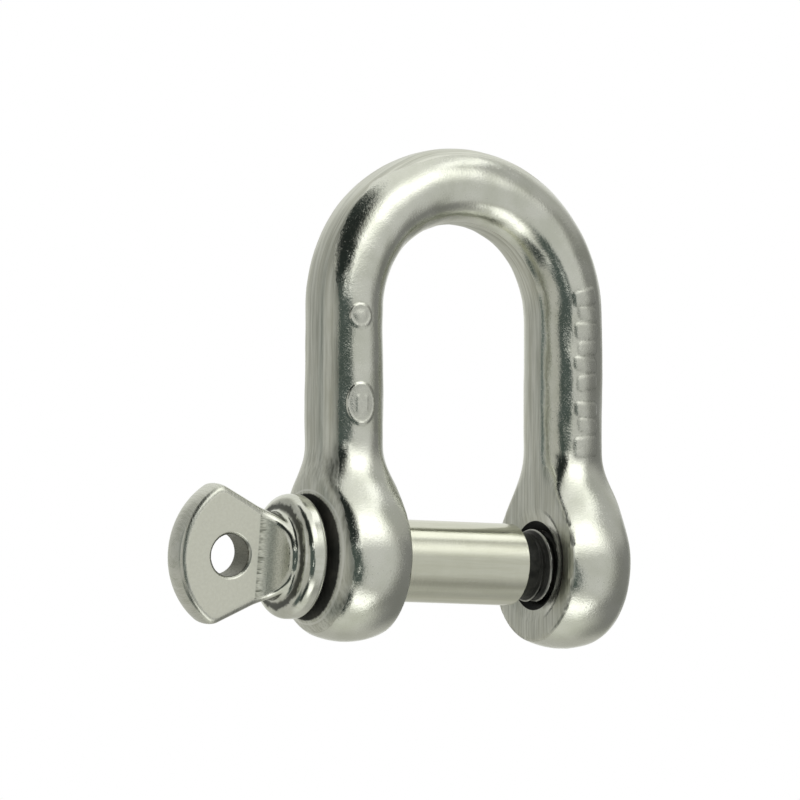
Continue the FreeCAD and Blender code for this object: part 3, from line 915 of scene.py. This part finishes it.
def pin_material():
    """Turned and polished steel, with satin milled faces on the spade."""
    made, g, shader = material("pin_steel")
    flow = g.vector("flow")
    face, ramp, band, hole = (g.number(name) for name in ("face", "ramp", "band", "hole"))
    x = g.split(flow)[0]
    turned = g.noise(g.stretched(flow, 1, 0.05, 0.05), 9.0, 3, 0.6)
    along = g.noise(g.stretched(flow, 0.06, 1, 1), 1.6, 3, 0.6)
    rows = g.noise(g.stretched(flow, 0.05, 1, 1), 9.0, 3, 0.65)
    matte = g.noise(flow, 3.0, 4, 0.6)
    speck = g.noise(flow, 5.0, 4, 0.65)
    cloud = g.noise(flow, 0.4, 3, 0.5)
    back, under = collar_masks(g, flow)
    dark = g.larger(g.times(back, 0.80), under)

    polish = g.mix(g.window(cloud, 0.3, 0.7), PIN_POLISH_DARK, PIN_POLISH)
    polish = g.mix(g.window(along, 0.45, 0.75, 0.0, 0.35), polish, PIN_STREAK)
    straw = g.mix(g.window(along, 0.35, 0.65), STRAW, STRAW_DEEP)
    polish = g.mix(g.window(x, SEAT, SEAT + 1.0, 0.0, 0.7), polish, straw)
    lined = g.mix(g.window(rows, 0.3, 0.7), RAMP_DARK, RAMP)
    lined = g.mix(chatter_mask(g, flow, x), lined, CHATTER)
    colour = g.mix(face, polish, g.mix(g.window(matte, 0.3, 0.7), MILLED_DARK, MILLED))
    colour = g.mix(band, colour, g.mix(g.window(turned, 0.3, 0.7), BRUSHED_DARK, BRUSHED))
    colour = g.mix(ramp, colour, lined)
    colour = g.mix(hole, colour, g.mix(g.window(rows, 0.35, 0.65), HOLE_WALL_DARK, HOLE_WALL))
    # painted shade on the collar's back and on its face towards the ear
    colour = g.mix(dark, colour, COLLAR_SHADE)

    rough = g.blend(face, g.window(turned, 0.3, 0.7, 0.09, 0.15), g.window(matte, 0.3, 0.7, 0.42, 0.52))
    rough = g.blend(band, rough, g.window(turned, 0.3, 0.7, 0.24, 0.34))
    rough = g.blend(g.larger(ramp, hole), rough, 0.42)
    rough = g.blend(dark, rough, 0.45)

    plain = g.minus(1.0, g.larger(face, ramp))
    normal = g.bump(g.times(turned, plain), 0.12, BUMP)
    normal = g.bump(g.times(speck, plain), 0.22, BUMP, normal)
    normal = g.bump(g.times(rows, ramp), 0.5, COARSE_BUMP, normal)
    normal = g.bump(g.times(matte, face), 0.15, BUMP, normal)
    g.put(shader.inputs["Base Color"], colour)
    g.put(shader.inputs["Roughness"], rough)
    g.put(shader.inputs["Metallic"], g.minus(1.0, under))
    g.put(shader.inputs["Specular IOR Level"], 0.06)
    g.put(shader.inputs["Normal"], normal)
    return made


def turning_lines(g, place):
    """Fine lines round the pin's axis, as a turning tool leaves them."""
    return g.noise(g.stretched(place, 1, 0.04, 0.04), 9000.0, 3, 0.6)


def thread_material():
    """Machined steel with painted shade: darker in the roots, and near black and not metallic in the roots
    at the start of the thread; the crests and the end keep a brighter steel colour.
    """
    made, g, shader = material("thread_steel")
    place = g.place()
    x, r = g.about_pin(place)
    lines = turning_lines(g, place)
    stain = g.window(g.noise(place, 500.0, 3, 0.6), 0.3, 0.7)
    # painted shade: the thread's roots near black and not metallic at its start next to the neck
    neck_shaded = g.window(x, *metres(SHOULDER_X + 3.2, SHOULDER_X + 5.5), 1.0, 0.0)
    root = g.mix(neck_shaded, g.mix(stain, ROOT_SHADE_DARK, ROOT_SHADE), g.mix(stain, NECK_SHADE_DARK, NECK_SHADE))
    on_crest = g.window(r, *metres(THREAD_R - 0.20, THREAD_R - 0.03))
    on_end = g.window(x, *metres(THREAD_END_X - 0.5, THREAD_END_X - 0.4))
    bright = g.larger(on_crest, on_end)
    # painted shade in the roots; the crests and the end in a brighter steel colour
    g.put(shader.inputs["Base Color"], g.mix(bright, root, g.mix(stain, CREST_DARK, CREST)))
    g.put(shader.inputs["Metallic"], g.larger(bright, g.minus(1.0, neck_shaded)))
    g.put(shader.inputs["Specular IOR Level"], 0.2)
    g.put(shader.inputs["Roughness"], g.window(lines, 0.3, 0.7, 0.24, 0.40))
    g.put(shader.inputs["Normal"], g.bump(lines, 0.2, BUMP))
    return made


def neck_material():
    """Turned steel, painted near black and not metallic as shade."""
    made, g, shader = material("neck_steel")
    place = g.place()
    lines = turning_lines(g, place)
    stain = g.window(g.noise(place, 700.0, 3, 0.6), 0.35, 0.7)
    # painted shade, near black
    g.put(shader.inputs["Base Color"], g.mix(stain, SHADE_BLACK, NECK_SHADE))
    g.put(shader.inputs["Metallic"], 0.0)
    g.put(shader.inputs["Specular IOR Level"], 0.3)
    g.put(shader.inputs["Roughness"], g.window(lines, 0.3, 0.7, 0.28, 0.44))
    g.put(shader.inputs["Normal"], g.bump(lines, 0.2, BUMP))
    return made


def dress(obj, made):
    """Makes this the object's only material."""
    obj.data.materials.clear()
    obj.data.materials.append(made)


# ---------------------------------------------------------------- the pieces
bow = make_bow()
dress(bow, bow_material())
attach(bow, "bow")
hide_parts("bow")

pin = make_pin()
dress(pin, pin_material())
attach(pin, "pin_turning")
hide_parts("screw_pin")

thread = make_thread()
dress(thread, thread_material())
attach(thread, "pin_turning")
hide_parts("pin_thread")

dress(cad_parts["pin_neck"], neck_material())

# ---------------------------------------------------------------- camera, floor and light, in metres
AZIMUTH, UP, ROLL = math.radians(30.42), math.radians(4.51), math.radians(0.156)
DISTANCE, LENS, SENSOR = 0.7897, 360.25, 36
AIM_HEIGHT, AIM_LEFT = 0.016044, 0.005401          # the middle of the picture, from the origin
FLOOR_Z, FLOOR_HALF = -50.0, 20000.0               # in millimetres
FLOOR_COLOUR, FLOOR_ROUGH = (0.93, 0.93, 0.92, 1), 0.9

WALL, CEILING, FLOOR_GLOW = (0.50, 0.50, 0.46, 1), (0.86, 0.87, 0.82, 1), (0.66, 0.67, 0.61, 1)
BRIGHT_TINT, DARK_TINT, DARK_BELOW = (0.99, 1.0, 0.955), (0.82, 1.03, 0.95), 0.2
# what the polished steel sees: (azimuth, height, half width, half height, tilt, softness), brightness
TENT = [
    ((180, 35, 42, 45, 0, 14), 0.85),       # back wall
    ((116, -16, 38, 40, 0, 16), 0.23),      # right side
    ((105, 45, 28, 18, 0, 12), 0.48),
    ((-95, 20, 34, 26, 0, 14), 0.43),       # left side
    ((-62, 5, 9, 14, 0, 5), 0.62),
    ((-88, 4, 7, 18, 0, 4), 0.15),
    ((-82, -44, 16, 12, 0, 5), 0.10),
    ((98, 57, 30, 6, 0, 4), 1.35),
    ((45, -10, 32, 30, 0, 10), 0.62),
    ((40, 39, 29, 17, 0, 14), 1.75),        # large soft lamp at the upper right
    ((34, -61, 36, 12, 0, 9), 1.6),         # its light on the table
    ((-15, 24, 23, 12, 0, 3), 0.03),        # dark opening for the camera
    ((-27, 40, 26, 9, 0, 4), 0.022),
    ((-40, 53, 35, 8, 0, 4), 0.022),
    ((-60, 63, 38, 8, 0, 5), 0.035),
    ((-4, 0, 22, 14, 0, 3), 0.095),
    ((4, -22, 24, 16, 0, 5), 0.10),
    ((-42, -55, 34, 12, 14, 6), 0.05),
    ((14, 23, 3.2, 12, 0, 2), 1.5),         # a window's edge beside the camera
    ((10, 13.0, 4, 2.5, 0, 1.5), 1.0),
    ((-1, 15, 3.0, 3.0, 0, 1.5), 1.7),      # small lights
    ((10, -15, 2.5, 3.0, 0, 1.5), 1.7),
    ((-13, -37, 4.0, 4.0, 0, 2.0), 1.3),
]


def make_camera():
    """A long lens at the photo's angle, below the object's level and to its left."""
    ahead = Vector((math.sin(AZIMUTH) * math.cos(UP), math.cos(AZIMUTH) * math.cos(UP), math.sin(UP)))
    level = Vector((math.cos(AZIMUTH), -math.sin(AZIMUTH), 0))
    upward = level.cross(ahead)
    right = level * math.cos(ROLL) + upward * math.sin(ROLL)
    top = upward * math.cos(ROLL) - level * math.sin(ROLL)
    placed = Matrix((right, top, -ahead)).transposed().to_4x4()
    placed.translation = Vector((0, 0, AIM_HEIGHT)) - AIM_LEFT * level - DISTANCE * ahead
    camera = bpy.data.objects.new("camera", bpy.data.cameras.new("camera"))
    camera.data.lens = LENS
    camera.data.sensor_width = SENSOR
    camera.matrix_world = placed
    bpy.context.scene.collection.objects.link(camera)
    bpy.context.scene.camera = camera


def make_floor():
    """A plain pale floor that the steel doesn't mirror."""
    signs = ((-1, -1), (1, -1), (1, 1), (-1, 1))
    corners = [(u * FLOOR_HALF, v * FLOOR_HALF, FLOOR_Z) for u, v in signs]
    made = build("floor", corners, [(0, 1, 2, 3)])
    paper = bpy.data.materials.new("pale_floor")
    paper.use_nodes = True
    shader = paper.node_tree.nodes["Principled BSDF"]
    shader.inputs["Base Color"].default_value = FLOOR_COLOUR
    shader.inputs["Roughness"].default_value = FLOOR_ROUGH
    dress(made, paper)
    made.visible_glossy = False
    return made


def make_world():
    """A light tent: pale all round, with a dark opening at the front and soft lamps."""
    world = bpy.data.worlds.new("studio")
    world.use_nodes = True
    bpy.context.scene.world = world
    g = Graph(world.node_tree)
    x, y, z = g.split(g.add("ShaderNodeTexCoord"))
    # azimuth in degrees: 0 towards the camera's side of the object, rising anticlockwise seen from above
    front = (-math.sin(AZIMUTH), -math.cos(AZIMUTH))
    along = g.plus(g.times(x, front[0]), g.times(y, front[1]))
    side = g.plus(g.times(x, -front[1]), g.times(y, front[0]))
    azimuth = g.math("DEGREES", g.math("ARCTAN2", side, along))
    height = g.math("DEGREES", g.math("ARCSINE", z))

    def patch(at, up, half_w, half_h, tilt, soft):
        """1 inside a soft-edged, tilted rectangle of the sky and 0 outside; all in degrees."""
        across = g.math("WRAP", g.minus(azimuth, at), 180.0, -180.0)
        rise = g.minus(height, up)
        c, s = math.cos(math.radians(tilt)), math.sin(math.radians(tilt))
        u = g.math("ABSOLUTE", g.plus(g.times(across, c), g.times(rise, s)))
        v = g.math("ABSOLUTE", g.minus(g.times(rise, c), g.times(across, s)))
        wide = g.window(u, half_w - soft, half_w + soft, 1.0, 0.0)
        high = g.window(v, half_h - soft, half_h + soft, 1.0, 0.0)
        return g.times(wide, high)

    tent = g.mix(g.window(height, 40, 70), WALL, CEILING)
    tent = g.mix(g.window(height, -45, -75), tent, FLOOR_GLOW)
    for place, grey in TENT:
        tint = DARK_TINT if grey <= DARK_BELOW else BRIGHT_TINT
        tent = g.mix(patch(*place), tent, (*(grey * part for part in tint), 1))
    background = world.node_tree.nodes["Background"]
    seen_by_camera = g.add("ShaderNodeLightPath")
    g.put(background.inputs["Color"], g.mix(seen_by_camera, tent, (1, 1, 1, 1)))
    background.inputs["Strength"].default_value = 1.0


make_camera()
floor = make_floor()
make_world()
bpy.context.scene.view_settings.view_transform = "Standard"
